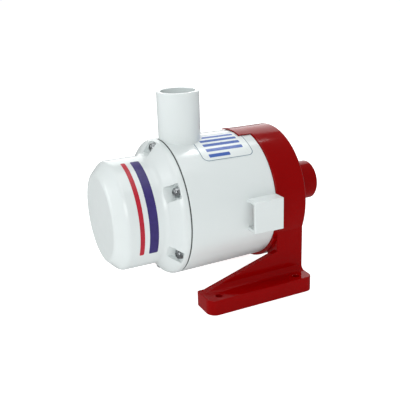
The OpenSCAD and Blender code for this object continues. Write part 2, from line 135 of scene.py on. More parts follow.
PRINT_LIFT = 0.02
LABEL_FRONT, LABEL_REAR = SEAM + 23, SEAM + 74.5
LABEL_LOW, LABEL_HIGH = 49.5, 86
LABEL_CORNER = 6.5
STRIPE_LOW, STRIPE_HIGH = -29.5, 79.5

ON_AXIS = Matrix.Translation((0, 0, AXIS_Z)) @ Matrix.Rotation(-math.pi / 2, 4, "X")
ACROSS = Matrix(((0, 0, 1, 0), (1, 0, 0, 0), (0, 1, 0, 0), (0, 0, 0, 1)))
ALONG = Matrix(((1, 0, 0, 0), (0, 0, 1, 0), (0, 1, 0, 0), (0, 0, 0, 1)))
SIDES = (Matrix.Identity(4), Matrix.Scale(-1, 4, (1, 0, 0)))
FULL_TURN = 2 * math.pi

# How finely rounds are cut, and how close two points have to lie to become one
BODY_STEPS = 192
ROUND_STEPS = 160
TUBE_STEPS = 96
TURNED_MERGE = 1e-5
PIECE_MERGE = 2e-4
SHARP_ANGLE = math.radians(28)


# ---------- outlines and solids ----------

def arc(x, y, radius, start, end, steps=8):
    """Points of an arc, from one angle to another in radians."""
    angles = [start + (end - start) * i / steps for i in range(steps + 1)]
    return [(x + radius * math.cos(a), y + radius * math.sin(a)) for a in angles]


def rounded(corners, steps=5):
    """Closed outline through (x, y, radius) corners, each turned into an arc of its radius."""
    points = []
    for i, (x, y, radius) in enumerate(corners):
        here = Vector((x, y))
        before = (Vector(corners[i - 1][:2]) - here).normalized()
        after = (Vector(corners[(i + 1) % len(corners)][:2]) - here).normalized()
        half = before.angle(after) / 2
        if radius <= 0:
            points.append((x, y))
            continue
        centre = here + (before + after).normalized() * radius / math.sin(half)
        first = here + before * radius / math.tan(half) - centre
        last = here + after * radius / math.tan(half) - centre
        start = math.atan2(first.y, first.x)
        turn = math.atan2(last.y, last.x) - start
        turn = (turn + math.pi) % FULL_TURN - math.pi
        points += arc(centre.x, centre.y, radius, start, start + turn, steps)
    return points


def new_object(name, bm):
    """Turns a bmesh into an object of the scene."""
    bmesh.ops.recalc_face_normals(bm, faces=bm.faces)
    mesh = bpy.data.meshes.new(name)
    bm.to_mesh(mesh)
    bm.free()
    piece = bpy.data.objects.new(name, mesh)
    bpy.context.scene.collection.objects.link(piece)
    return piece


def turned_mesh(bm, outline, place, start=0.0, sweep=FULL_TURN, steps=ROUND_STEPS):
    """Adds the solid that an outline of (radius, height) sweeps round local Z."""
    whole = abs(sweep - FULL_TURN) < 1e-6
    rows = []
    for i in range(steps if whole else steps + 1):
        a = start + sweep * i / steps
        turn = (math.cos(a), math.sin(a))
        rows.append([bm.verts.new(place @ Vector((r * turn[0], r * turn[1], h))) for r, h in outline])
    bands = len(rows) if whole else len(rows) - 1
    for i in range(bands):
        row, after = rows[i], rows[(i + 1) % len(rows)]
        for k in range(len(outline)):
            n = (k + 1) % len(outline)
            if outline[k][0] > 1e-6 or outline[n][0] > 1e-6:
                bm.faces.new((row[k], row[n], after[n], after[k]))
    if not whole:
        bm.faces.new(rows[0])
        bm.faces.new(rows[-1])
    bmesh.ops.remove_doubles(bm, verts=bm.verts, dist=TURNED_MERGE)
    bmesh.ops.dissolve_degenerate(bm, edges=bm.edges, dist=TURNED_MERGE)


def turned(name, outline, place, **how):
    """The solid that an outline sweeps, as an object."""
    bm = bmesh.new()
    turned_mesh(bm, outline, place, **how)
    return new_object(name, bm)


def prism_mesh(bm, outline, low, high, place, edge=0.0):
    """Adds the solid of an (x, y) outline between two heights, its sharp edges rounded."""
    own = bmesh.new()
    bottom = [own.verts.new((x, y, low)) for x, y in outline]
    top = [own.verts.new((x, y, high)) for x, y in outline]
    own.faces.new(bottom)
    own.faces.new(top)
    for i in range(len(outline)):
        n = (i + 1) % len(outline)
        own.faces.new((bottom[i], bottom[n], top[n], top[i]))
    bmesh.ops.recalc_face_normals(own, faces=own.faces)
    if edge > 0:
        sharp = [e for e in own.edges if e.calc_face_angle(0) > math.radians(25)]
        bmesh.ops.bevel(own, geom=sharp, offset=edge, offset_type="OFFSET", segments=4,
                        profile=0.5, affect="EDGES", clamp_overlap=True)
    own.transform(place)
    bmesh.ops.recalc_face_normals(own, faces=own.faces)
    held = bpy.data.meshes.new("held")
    own.to_mesh(held)
    own.free()
    bm.from_mesh(held)
    bpy.data.meshes.remove(held)


def prism(name, outline, low, high, place=Matrix.Identity(4), edge=0.0):
    """The solid of an outline between two heights, as an object."""
    bm = bmesh.new()
    prism_mesh(bm, outline, low, high, place, edge)
    return new_object(name, bm)


def box_mesh(bm, low, high, place=Matrix.Identity(4), edge=0.0):
    """Adds the box between two corners."""
    outline = [(low[0], low[1]), (high[0], low[1]), (high[0], high[1]), (low[0], high[1])]
    prism_mesh(bm, outline, low[2], high[2], place, edge)


def rod_outline(radius, low, high, edge=0.0):
    """Half section of a plain round bar, closed along its axis."""
    return [(0, low)] + rounded([(0, low, 0), (radius, low, edge), (radius, high, edge),
                                 (0, high, 0)])[1:]


def round_copies(count):
    """Turns about the pump axis, the first one straight up."""
    centre = Matrix.Translation((0, 0, AXIS_Z))
    for i in range(count):
        yield centre @ Matrix.Rotation(i * FULL_TURN / count, 4, "Y") @ centre.inverted()


def combine(piece, tool, how):
    """Joins, cuts or crosses a piece with a tool, and clears the tool away."""
    step = piece.modifiers.new("combine", "BOOLEAN")
    step.operation = how
    step.solver = "EXACT"
    step.object = tool
    shape = piece.evaluated_get(bpy.context.evaluated_depsgraph_get())
    made = bpy.data.meshes.new_from_object(shape)
    piece.modifiers.clear()
    old = piece.data
    piece.data = made
    bpy.data.meshes.remove(old)
    spent = tool.data
    bpy.data.objects.remove(tool)
    bpy.data.meshes.remove(spent)
    return piece


def finish_piece(piece, material, body, slot, *nodes):
    """Brings a piece to metres, smooths it and hands it to its body."""
    bm = bmesh.new()
    bm.from_mesh(piece.data)
    bmesh.ops.remove_doubles(bm, verts=bm.verts, dist=PIECE_MERGE)
    bmesh.ops.dissolve_degenerate(bm, edges=bm.edges, dist=PIECE_MERGE)
    bmesh.ops.scale(bm, vec=(MM, MM, MM), verts=bm.verts)
    bm.to_mesh(piece.data)
    bm.free()
    piece.data.shade_smooth()
    piece.data.set_sharp_from_angle(angle=SHARP_ANGLE)
    even = piece.modifiers.new("even_normals", "WEIGHTED_NORMAL")
    even.keep_sharp = True
    piece.data.materials.clear()
    piece.data.materials.append(material)
    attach(piece, body)
    if nodes:
        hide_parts(*nodes)


# ---------- materials ----------

class Shader:
    """A node material under construction, with short calls for the nodes that it uses."""

    def __init__(self, name):
        self.material = bpy.data.materials.new(name)
        self.material.use_nodes = True
        self.tree = self.material.node_tree
        self.bsdf = self.tree.nodes["Principled BSDF"]
        self.place = self.tree.nodes.new("ShaderNodeTexCoord").outputs["Object"]

    def link(self, source, target):
        self.tree.links.new(source, target)

    def noise(self, scale, detail=2.0, stretch=None):
        """Noise over the piece's own space, its scale in features a metre."""
        node = self.tree.nodes.new("ShaderNodeTexNoise")
        node.inputs["Scale"].default_value = scale
        node.inputs["Detail"].default_value = detail
        self.link(self.stretched(stretch), node.inputs["Vector"])
        return node.outputs["Fac"]

    def stretched(self, stretch):
        if stretch is None:
            return self.place
        node = self.tree.nodes.new("ShaderNodeVectorMath")
        node.operation = "MULTIPLY"
        node.inputs[1].default_value = stretch
        self.link(self.place, node.inputs[0])
        return node.outputs["Vector"]

    def ramp(self, source, low_colour, high_colour, low=0.3, high=0.7):
        node = self.tree.nodes.new("ShaderNodeValToRGB")
        node.color_ramp.elements[0].position = low
        node.color_ramp.elements[1].position = high
        node.color_ramp.elements[0].color = (*low_colour, 1)
        node.color_ramp.elements[1].color = (*high_colour, 1)
        self.link(source, node.inputs["Fac"])
        return node.outputs["Color"]

    def spread(self, source, low, high, from_low=0.3, from_high=0.7):
        node = self.tree.nodes.new("ShaderNodeMapRange")
        node.inputs["From Min"].default_value = from_low
        node.inputs["From Max"].default_value = from_high
        node.inputs["To Min"].default_value = low
        node.inputs["To Max"].default_value = high
        self.link(source, node.inputs["Value"])
        return node.outputs["Result"]

    def math(self, operation, first, second=None):
        node = self.tree.nodes.new("ShaderNodeMath")
        node.operation = operation
        for value, socket in zip((first, second), node.inputs):
            if value is None:
                continue
            if isinstance(value, (int, float)):
                socket.default_value = value
            else:
                self.link(value, socket)
        return node.outputs["Value"]

    def mix(self, factor, first, second):
        node = self.tree.nodes.new("ShaderNodeMix")
        node.data_type = "RGBA"
        self.link(factor, node.inputs["Factor"])
        for value, socket in ((first, node.inputs[6]), (second, node.inputs[7])):
            if isinstance(value, tuple):
                socket.default_value = (*value, 1)
            else:
                self.link(value, socket)
        return node.outputs[2]

    def colour(self, source):
        self.link(source, self.bsdf.inputs["Base Color"])

    def roughness(self, source):
        self.link(source, self.bsdf.inputs["Roughness"])

    def surface(self, height, depth, strength=1.0, edge=0.0004):
        """Fine relief of a depth in metres, over edges rounded by the edge radius."""
        soft = self.tree.nodes.new("ShaderNodeBevel")
        soft.samples = 4
        soft.inputs["Radius"].default_value = edge
        bump = self.tree.nodes.new("ShaderNodeBump")
        bump.inputs["Strength"].default_value = strength
        bump.inputs["Distance"].default_value = depth
        self.link(height, bump.inputs["Height"])
        self.link(soft.outputs["Normal"], bump.inputs["Normal"])
        self.link(bump.outputs["Normal"], self.bsdf.inputs["Normal"])


def tinted(colour, factor):
    return tuple(min(1.0, c * factor) for c in colour)


def moulded_plastic(name, colour, rough, vary=0.04, specular=0.5):
    """Moulded plastic: faint flow clouding, uneven gloss and a slight waviness."""
    s = Shader(name)
    clouds = s.noise(28, 3.0)
    s.colour(s.ramp(clouds, tinted(colour, 1 - vary), tinted(colour, 1 + vary)))
    s.roughness(s.spread(s.noise(160, 2.0), rough - 0.04, rough + 0.05))
    s.surface(s.noise(70, 1.0), 0.00012, 0.1)
    s.bsdf.inputs["Specular IOR Level"].default_value = specular
    return s.material


def metal(name, colour, rough, brushed=(1, 1, 1), grain=900):
    """Bare metal with fine drawn or turned marks."""
    s = Shader(name)
    marks = s.noise(grain, 4.0, brushed)
    s.colour(s.ramp(marks, tinted(colour, 0.82), tinted(colour, 1.08)))
    s.roughness(s.spread(marks, rough - 0.08, rough + 0.1))
    s.surface(marks, 0.00003, 0.35, 0.0002)
    s.bsdf.inputs["Metallic"].default_value = 1.0
    return s.material


def rubber(name, colour):
    """Matte rubber with a bloomed, slightly pitted skin."""
    s = Shader(name)
    bloom = s.noise(420, 4.0)
    s.colour(s.ramp(bloom, tinted(colour, 0.8), tinted(colour, 1.35)))
    s.roughness(s.spread(bloom, 0.6, 0.82))
    s.surface(s.noise(2600, 3.0), 0.00006, 0.5, 0.0002)
    s.bsdf.inputs["Specular IOR Level"].default_value = 0.35
    return s.material


WAVE_PERIOD = 0.31      # of the wave texture, in metres at scale 1


def banded_metal(name, colour, gap_colour, pitch, rough):
    """Stacked laminations or wound wire: fine bands along the pump axis."""
    s = Shader(name)
    bands = s.tree.nodes.new("ShaderNodeTexWave")
    bands.bands_direction = "Y"
    bands.inputs["Scale"].default_value = WAVE_PERIOD / pitch
    bands.inputs["Distortion"].default_value = 0.4
    s.link(s.place, bands.inputs["Vector"])
    s.colour(s.ramp(bands.outputs["Fac"], gap_colour, colour, 0.1, 0.5))
    s.roughness(s.spread(s.noise(500), rough - 0.06, rough + 0.08))
    s.surface(bands.outputs["Fac"], pitch * 0.2, 0.6, 0.0002)
    s.bsdf.inputs["Metallic"].default_value = 1.0
    return s.material


def speckled(name, colour, fleck, rough, scale=1400):
    """Pressed or sintered stuff: carbon, ferrite or paper board."""
    s = Shader(name)
    grains = s.noise(scale, 5.0)
    s.colour(s.ramp(grains, colour, fleck, 0.45, 0.75))
    s.roughness(s.spread(grains, rough - 0.1, rough + 0.08))
    s.surface(grains, 0.00005, 0.5, 0.0002)
    return s.material


WHITE = (0.79, 0.845, 0.84)
RED = (0.275, 0.0003, 0.0006)
BAR_BLUE = (0.012, 0.09, 0.42)
LINE_GREY = (0.16, 0.24, 0.30)
STRIPE_RED = (0.50, 0.015, 0.035)
STRIPE_NAVY = (0.045, 0.03, 0.17)


def printed_mask(s, u, v, centre, half, radius):
    """Signed distance to a rounded bar on the label, in millimetres."""
    across = s.math("ABSOLUTE", s.math("SUBTRACT", u, centre[0]))
    along = s.math("ABSOLUTE", s.math("SUBTRACT", v, centre[1]))
    over_u = s.math("SUBTRACT", across, half[0] - radius)
    over_v = s.math("SUBTRACT", along, half[1] - radius)
    out_u = s.math("MAXIMUM", over_u, 0.0)
    out_v = s.math("MAXIMUM", over_v, 0.0)
    far = s.math("SQRT", s.math("ADD", s.math("MULTIPLY", out_u, out_u),
                                s.math("MULTIPLY", out_v, out_v)))
    near = s.math("MINIMUM", s.math("MAXIMUM", over_u, over_v), 0.0)
    return s.math("SUBTRACT", s.math("ADD", far, near), radius)


def label_material(half_u, half_v, corner):
    """White film with a thin border and plain bars, laid out in the sheet's millimetres."""
    s = Shader("label_film")
    sheet = s.tree.nodes.new("ShaderNodeUVMap")
    parts = s.tree.nodes.new("ShaderNodeSeparateXYZ")
    s.link(sheet.outputs["UV"], parts.inputs["Vector"])
    u, v = parts.outputs["X"], parts.outputs["Y"]
    soft = 0.12
    line = 0.38
    inset = 1.0
    edge = printed_mask(s, u, v, (0, 0), (half_u - inset, half_v - inset), corner - inset)
    border = s.spread(s.math("ABSOLUTE", edge), 1.0, 0.0, line - soft, line + soft)
    pitch = 2 * half_v / 5.8
    full, short, thick, corner_r = 0.7 * half_u, 0.4 * half_u, 1.9, 0.7
    bars = None
    for i in range(5):
        width = full if i < 4 else short
        centre = (width - full, (2 - i) * pitch)
        inside = printed_mask(s, u, v, centre, (width, thick), corner_r)
        bar = s.spread(inside, 1.0, 0.0, -soft, soft)
        bars = bar if bars is None else s.math("MAXIMUM", bars, bar)
    film = s.ramp(s.noise(40), tinted(WHITE, 0.98), tinted(WHITE, 1.04))
    s.colour(s.mix(bars, s.mix(border, film, LINE_GREY), BAR_BLUE))
    s.roughness(s.spread(s.noise(300), 0.26, 0.36))
    s.surface(s.noise(1200), 0.00001, 0.4, 0.0001)
    return s.material


def stripe_material(name, colour):
    """Printed ink film: slightly uneven density."""
    s = Shader(name)
    s.colour(s.ramp(s.noise(350, 3.0), tinted(colour, 0.9), tinted(colour, 1.12)))
    s.roughness(s.spread(s.noise(500), 0.3, 0.42))
    s.surface(s.noise(2200), 0.00001, 0.4, 0.0001)
    s.bsdf.inputs["Specular IOR Level"].default_value = 0.4
    return s.material


white_plastic = moulded_plastic("white_plastic", WHITE, 0.16, 0.012)
red_plastic = moulded_plastic("red_plastic", RED, 0.12, 0.05, 0.13)
screw_steel = metal("screw_steel", (0.40, 0.42, 0.43), 0.3)
gasket_rubber = rubber("gasket_rubber", (0.075, 0.085, 0.085))

SLOT_MATERIALS = {
    "red_plastic": red_plastic,
    "white_plastic": white_plastic,
    "gasket_rubber": gasket_rubber,
    "seal_rubber": rubber("seal_rubber", (0.02, 0.02, 0.022)),
    "case_plastic": moulded_plastic("case_plastic", (0.52, 0.55, 0.56), 0.42, 0.03),
    "black_nylon": moulded_plastic("black_nylon", (0.022, 0.023, 0.025), 0.38, 0.12),
    "stainless": metal("stainless", (0.58, 0.58, 0.57), 0.26, (1, 0.15, 1)),
    "motor_steel": metal("motor_steel", (0.45, 0.45, 0.43), 0.38, (1, 0.3, 1), 600),
    "brass": metal("brass", (0.70, 0.50, 0.20), 0.32),
    "bronze": speckled("bronze", (0.42, 0.24, 0.09), (0.62, 0.42, 0.20), 0.45, 1800),
    "carbon": speckled("carbon", (0.03, 0.03, 0.032), (0.11, 0.10, 0.095), 0.5, 2400),
    "ferrite": speckled("ferrite", (0.055, 0.055, 0.06), (0.10, 0.10, 0.105), 0.55, 900),
    "brush_board": speckled("brush_board", (0.20, 0.09, 0.035), (0.30, 0.15, 0.07), 0.6, 700),
    "core_steel": banded_metal("core_steel", (0.36, 0.37, 0.39), (0.05, 0.05, 0.055), 0.0006, 0.4),
    "copper": banded_metal("copper", (0.72, 0.28, 0.11), (0.22, 0.06, 0.02), 0.0009, 0.3),
}


# ---------- red base ----------

def ring_and_spigot():
    """The ring, its back plate and the inlet spigot, turned as one."""
    plate_in = BASE_REAR - BACK_PLATE
    boss_r = SPIGOT_R + 3
    boss_end = BASE_REAR + 1.5
    socket_end = RING_FRONT + SOCKET_LENGTH
    outline = rounded([
        (SOCKET_R, RING_FRONT, 0.5), (RING_R, RING_FRONT, 0.9), (RING_R, BASE_REAR, 2.2),
        (boss_r, BASE_REAR, 0.6), (boss_r, boss_end, 0.6), (SPIGOT_R, boss_end, 0.5),
        (SPIGOT_R, SPIGOT_END, 1.1), (SPIGOT_BORE, SPIGOT_END, 0.7),
        (SPIGOT_BORE, plate_in, 1.4), (CHAMBER_R, plate_in, 1.5),
        (CHAMBER_R, socket_end, 0.4), (SOCKET_R, socket_end, 0.4)])
    return turned("base_casting", outline, ON_AXIS, steps=BODY_STEPS)


def saddle():
    """Thicker underside of the ring between the legs."""
    half = math.radians(61.6)
    inner, outer = RING_R - 2, RING_R + 1.5
    front, rear = RING_FRONT + 0.1, BASE_REAR - 0.3
    outline = rounded([(inner, front, 0), (outer, front, 0.8), (outer, rear, 0.8), (inner, rear, 0)])
    return turned("saddle", outline, ON_AXIS, start=math.pi / 2 - half, sweep=2 * half, steps=64)


def tongue():
    """Locating tongue that reaches forwards from the ring over the housing."""
    half = math.asin(TONGUE_HALF / RING_R)
    inner, outer = 61.3, 62.5
    front = RING_FRONT - 13.5
    outline = rounded([(inner, front, 0.3), (outer, front, 0.5), (RING_R - 0.05, RING_FRONT + 1, 0),
                       (RING_R - 0.8, RING_FRONT + 3, 0), (inner, RING_FRONT + 3, 0)])
    return turned("tongue", outline, ON_AXIS, start=-math.pi / 2 - half, sweep=2 * half, steps=20)


def foot(side):
    """Long flat foot with round outer corners."""
    outline = rounded([(LEG_IN, FOOT_FRONT, 1.2), (FOOT_OUT, FOOT_FRONT, 9),
                       (FOOT_OUT, BASE_REAR, 7), (LEG_IN, BASE_REAR, 1.2)], 9)
    return prism("foot", outline, 0, FOOT_TOP, side, edge=0.8)


def web_outline(inset):
    """Side outline of the long sloping web, as (y, z)."""
    front = FOOT_FRONT + inset
    rear = BASE_REAR - inset
    return [(front, LEG_LOW), (front, WEB_TOE), (LEG_FRONT, WEB_TOP), (rear, WEB_TOP),
            (rear, LEG_LOW)]


def web(side):
    """Upright web along the foot."""
    return prism("web", web_outline(0.35), WEB_IN, LEG_OUT, side @ ACROSS, edge=0.7)


def web_fillet(side):
    """Hollow round between the web's outer face and the top of the foot."""
    radius, sink = 6, 0.06
    inner, low = LEG_OUT - 1.5, FOOT_TOP - 2
    x, z = LEG_OUT + radius - sink, FOOT_TOP + radius - sink
    outline = [(inner, low), (x, low)]
    outline += arc(x, z, radius, -math.pi / 2, -math.pi, 10)
    outline += [(inner, z)]
    strip = prism("web_fillet", outline, FOOT_FRONT + 0.7, BASE_REAR - 0.7, side @ ALONG)
    limit = prism("limit", web_outline(0.9), WEB_IN, FOOT_OUT, side @ ACROSS)
    return combine(strip, limit, "INTERSECT")


def leg(side):
    """Upright that carries the ring, wider towards the ring."""
    wide_in, top, bend = 36, 60, 5
    outline = rounded([(LEG_IN, LEG_LOW, 0), (LEG_IN, 14, bend), (wide_in, 34, bend),
                       (wide_in, top, 0), (LEG_OUT, top, 0), (LEG_OUT, LEG_LOW, 0)])
    shape = prism("leg", outline, LEG_FRONT, BASE_REAR - 0.15, side @ ALONG, edge=1.0)
    bore = turned("bore", rod_outline(RING_R - 1, RING_FRONT, BASE_REAR + 2), ON_AXIS)
    return combine(shape, bore, "DIFFERENCE")


def mounting_holes():
    """Cutters for the four holes, with a small lead-in at the top."""
    bm = bmesh.new()
    lead = 0.5
    outline = [(0, -1), (HOLE_R, -1), (HOLE_R, FOOT_TOP - lead), (HOLE_R + 2 * lead, FOOT_TOP + lead),
               (0, FOOT_TOP + lead)]
    for x in (-HOLE_X, HOLE_X):
        for y in (-HOLE_Y, HOLE_Y):
            turned_mesh(bm, outline, Matrix.Translation((x, y, 0)), steps=48)
    return new_object("holes", bm)


def latch_pockets():
    """Cutters for the pockets where the latch arms enter the ring."""
    bm = bmesh.new()
    inner, outer = 56, 60.8
    for side in SIDES:
        box_mesh(bm, (inner, RING_FRONT - 1, AXIS_Z - LATCH_HALF),
                 (outer, RING_FRONT + 5, AXIS_Z + LATCH_HALF), side)
    return new_object("pockets", bm)


def base_casting():
    """The whole red base as one piece."""
    piece = ring_and_spigot()
    for part in (saddle(), tongue()):
        combine(piece, part, "UNION")
    for side in SIDES:
        for part in (foot(side), web(side), web_fillet(side), leg(side)):
            combine(piece, part, "UNION")
    for cutter in (mounting_holes(), latch_pockets()):
        combine(piece, cutter, "DIFFERENCE")
    finish_piece(piece, red_plastic, "base", "red_plastic", "pump_base")


# ---------- white housing ----------

def housing_turned():
    """The housing's wall, front wall, shoulder and the spigot that enters the ring."""
    front_in = SEAM + 4
    shoulder_in = HOUSING_REAR - 5.3
    spigot_out, spigot_in = SOCKET_R - 0.3, 52
    seat_r, recess_r = 45.2, 50.4
    groove = 30.5
    groove_half, groove_r = 1.8, spigot_out - 3
    outline = rounded([
        (recess_r, HOUSING_FRONT, 0.2), (SEAM_R, HOUSING_FRONT, 0.7),
        (HOUSING_REAR_R, HOUSING_REAR, 0.4), (spigot_out, HOUSING_REAR, 0.3),
        (spigot_out, groove - groove_half, 0.2), (groove_r, groove - groove_half, 0.2),
        (groove_r, groove + groove_half, 0.2), (spigot_out, groove + groove_half, 0.2),
        (spigot_out, HOUSING_END, 1.0), (spigot_in, HOUSING_END, 0.5),
        (spigot_in, shoulder_in, 0.5), (HOUSING_REAR_R - WALL, shoulder_in, 1.0),
        (SEAM_R - WALL, front_in, 1.0), (seat_r, front_in, 0.1),
        (seat_r, HOUSING_FRONT + 3, 0.1), (recess_r, HOUSING_FRONT + 3, 0.1)], 4)
    return turned("housing_shell", outline, ON_AXIS, steps=BODY_STEPS)


def outlet_tube():
    """The upright hose outlet, cut off flush with the housing's front."""
    foot_z = AXIS_Z + SEAM_R - WALL + 0.2
    outline = [(0, foot_z)] + rounded([(0, foot_z, 0), (SPIGOT_R, foot_z, 0),
                                       (SPIGOT_R, OUTLET_TOP, 1.0), (0, OUTLET_TOP, 0)])[1:]
    return turned("outlet", outline, Matrix.Translation((0, OUTLET_Y, 0)), steps=TUBE_STEPS)


def outlet_front_cut():
    """Cutter for what the outlet's foot leaves in front of the housing."""
    bm = bmesh.new()
    box_mesh(bm, (-20, SEAM - 6, AXIS_Z + 50), (20, HOUSING_FRONT + 0.15, AXIS_Z + SEAM_R + 0.2))
    return new_object("front_cut", bm)


def outlet_bore():
    """Cutter for the outlet's passage, with a rounded lip."""
    port_r = SPIGOT_BORE - 1
    step = AXIS_Z + SEAM_R + 2
    lip = 0.6
    outline = [(0, AXIS_Z + 45), (port_r, AXIS_Z + 45), (port_r, step), (SPIGOT_BORE, step),
               (SPIGOT_BORE, OUTLET_TOP - lip)]
    outline += arc(SPIGOT_BORE + lip, OUTLET_TOP - lip, lip, math.pi, math.pi / 2, 5)[1:]
    outline += [(SPIGOT_BORE + lip, OUTLET_TOP + 1), (0, OUTLET_TOP + 1)]
    return turned("bore", outline, Matrix.Translation((0, OUTLET_Y, 0)), steps=TUBE_STEPS)


def fillet_row(angle, body_r):
    """Section of the root fillet at an angle round the outlet, seen from the outlet's axis."""
    radius, sink, inside, across = 0.6, 1.2, 1.5, 5
    away = Vector((math.cos(angle), math.sin(angle), 0))
    centre = away * (SPIGOT_R + radius)
    centre.z = math.sqrt((body_r + radius) ** 2 - centre.x ** 2)
    side = away * SPIGOT_R + Vector((0, 0, centre.z))
    low = Vector((centre.x, 0, centre.z)) * body_r / (body_r + radius)
    low.y = centre.y
    first, last = (side - centre).normalized(), (low - centre).normalized()
    row = [centre + first.slerp(last, k / across) * radius for k in range(across + 1)]
    inward = away * (SPIGOT_R - inside)
    row.append(Vector((low.x, low.y, low.z - sink)))
    row.append(Vector((inward.x, inward.y, low.z - sink)))
    row.append(Vector((inward.x, inward.y, side.z)))
    return row


def root_fillet():
    """Small blend where the outlet's round meets the housing's."""
    body_r = SEAM_R - (SEAM_R - HOUSING_REAR_R) * (OUTLET_Y - SEAM) / (HOUSING_REAR - SEAM)
    around = 144
    foot_centre = Vector((0, OUTLET_Y, AXIS_Z))
    bm = bmesh.new()
    rows = []
    for i in range(around):
        row = fillet_row(FULL_TURN * i / around, body_r)
        rows.append([bm.verts.new(point + foot_centre) for point in row])
    for i in range(around):
        row, after = rows[i], rows[(i + 1) % around]
        for k in range(len(row)):
            n = (k + 1) % len(row)
            bm.faces.new((row[k], row[n], after[n], after[k]))
    return new_object("root_fillet", bm)


def latch_guide(side):
    """Box that the latch arm slides in: open to the front and to the ring."""
    block = bmesh.new()
    root, well_inside = 54, 40
    box_mesh(block, (root, GUIDE_FRONT, AXIS_Z - GUIDE_HALF),
             (GUIDE_OUT, HOUSING_REAR - 0.02, AXIS_Z + GUIDE_HALF), side, edge=0.7)
    guide = new_object("guide", block)
    room = bmesh.new()
    inner = GUIDE_HALF - GUIDE_WALL
    box_mesh(room, (well_inside, GUIDE_FRONT - 5, AXIS_Z - inner),
             (GUIDE_OUT - GUIDE_WALL, HOUSING_REAR + 5, AXIS_Z + inner), side)
    combine(guide, new_object("room", room), "DIFFERENCE")
    core = turned("core", rod_outline(HOUSING_REAR_R - 1, SEAM, RING_FRONT + 1), ON_AXIS)
    return combine(guide, core, "DIFFERENCE")


def screw_rods(name, radius, low, high):
    """Six rods on the screw circle, in one mesh."""
    bm = bmesh.new()
    start = Matrix.Translation((0, 0, SCREW_CIRCLE)) @ Matrix.Translation((0, 0, AXIS_Z))
    for turn in round_copies(SCREW_COUNT):
        place = turn @ start @ Matrix.Rotation(-math.pi / 2, 4, "X")
        turned_mesh(bm, rod_outline(radius, low, high), place, steps=32)
    return new_object(name, bm)


def latch_notches():
    """Cutters that let the latch arms past the housing's shoulder."""
    bm = bmesh.new()
    inner, outer = 57, 62.2
    for side in SIDES:
        box_mesh(bm, (inner, RING_FRONT - 3.1, AXIS_Z - LATCH_HALF),
                 (outer, RING_FRONT + 0.1, AXIS_Z + LATCH_HALF), side)
    return new_object("notches", bm)


def housing_shell():
    """The whole white pump housing as one piece."""
    piece = housing_turned()
    guides = [latch_guide(side) for side in SIDES]
    bosses = screw_rods("bosses", SCREW_BOSS, HOUSING_FRONT + 0.6, SEAM + 12)
    for part in (outlet_tube(), root_fillet(), *guides, bosses):
        combine(piece, part, "UNION")
    pilots = screw_rods("pilots", SCREW_PILOT, SEAM - 1, SEAM + 11)
    for cutter in (outlet_front_cut(), outlet_bore(), latch_notches(), pilots):
        combine(piece, cutter, "DIFFERENCE")
    finish_piece(piece, white_plastic, "pump_unit", "white_plastic", "pump_housing")


# ---------- white motor cap ----------

def cap_half_section():
    """The cap's half section as (radius, distance in front of the seam), cup inside included."""
    length = SEAM - CAP_FRONT
    outer_x = SEAM_R - FLANGE_ROUND
    top_r = outer_x + FLANGE_ROUND * math.cos(CONE)
    top = RIM + FLANGE_ROUND * math.sin(CONE)
    hollow_x = CAP_R + FLANGE_ROUND
    low_r = hollow_x - FLANGE_ROUND * math.cos(CONE)
    low = top + (top_r - low_r) / math.tan(CONE)
    neck = low + FLANGE_ROUND * math.sin(CONE)
    inner_r = CAP_R - CAP_WALL
    inner_edge = CAP_EDGE - 1
    lip = 0.5
    outline = [(inner_r, GASKET / 2), (SEAM_R - lip, GASKET / 2), (SEAM_R, GASKET / 2 + lip)]
    outline += arc(outer_x, RIM, FLANGE_ROUND, 0, CONE, 10)
    outline += arc(hollow_x, neck, FLANGE_ROUND, math.pi + CONE, math.pi, 10)
    inner_top = length - CAP_WALL
    end = rounded([(CAP_R, neck, 0), (CAP_R, length - CAP_EDGE, CAP_EDGE_ROUND),
                   (CAP_R - CAP_EDGE, length, CAP_EDGE_ROUND), (0, length, 0), (0, inner_top, 0),
                   (inner_r - inner_edge, inner_top, 3), (inner_r, inner_top - inner_edge, 3),
                   (inner_r, neck, 0)], 8)
    return outline + end[1:-1]


def screw_pockets():
    """Cutters for the flat-walled screw pockets, with soft inside corners."""
    bm = bmesh.new()
    for turn in round_copies(SCREW_COUNT):
        box_mesh(bm, (-POCKET_HALF, SEAM - 30, AXIS_Z + POCKET_IN),
                 (POCKET_HALF, SEAM - POCKET_FLOOR, AXIS_Z + POCKET_IN + 20), turn, edge=0.9)
    return new_object("pockets", bm)


def gland_place(proud):
    """Frame that stands proud of the cap's hidden side and points inwards."""
    return Matrix.Translation((-CAP_R - proud, GLAND_Y, AXIS_Z)) @ Matrix.Rotation(math.pi / 2, 4, "Y")


def gland_boss():
    """Flat seat for the cable gland."""
    return turned("boss", rod_outline(GLAND_BOSS_R, 0, 3.2, 0.5), gland_place(1), steps=64)


def gland_hole():
    """Cutter for the cable gland's hole."""
    return turned("hole", rod_outline(GLAND_HOLE_R, 0, 9), gland_place(3), steps=48)


def cap_shell():
    """The white motor cap as one piece."""
    outline = [(r, SEAM - d) for r, d in cap_half_section()]
    piece = turned("cap_shell", outline, ON_AXIS, steps=BODY_STEPS)
    combine(piece, gland_boss(), "UNION")
    holes = screw_rods("clear", SCREW_CLEAR, SEAM - 12, SEAM + 1)
    for cutter in (screw_pockets(), holes, gland_hole()):
        combine(piece, cutter, "DIFFERENCE")
    finish_piece(piece, white_plastic, "pump_unit", "white_plastic", "motor_cap")


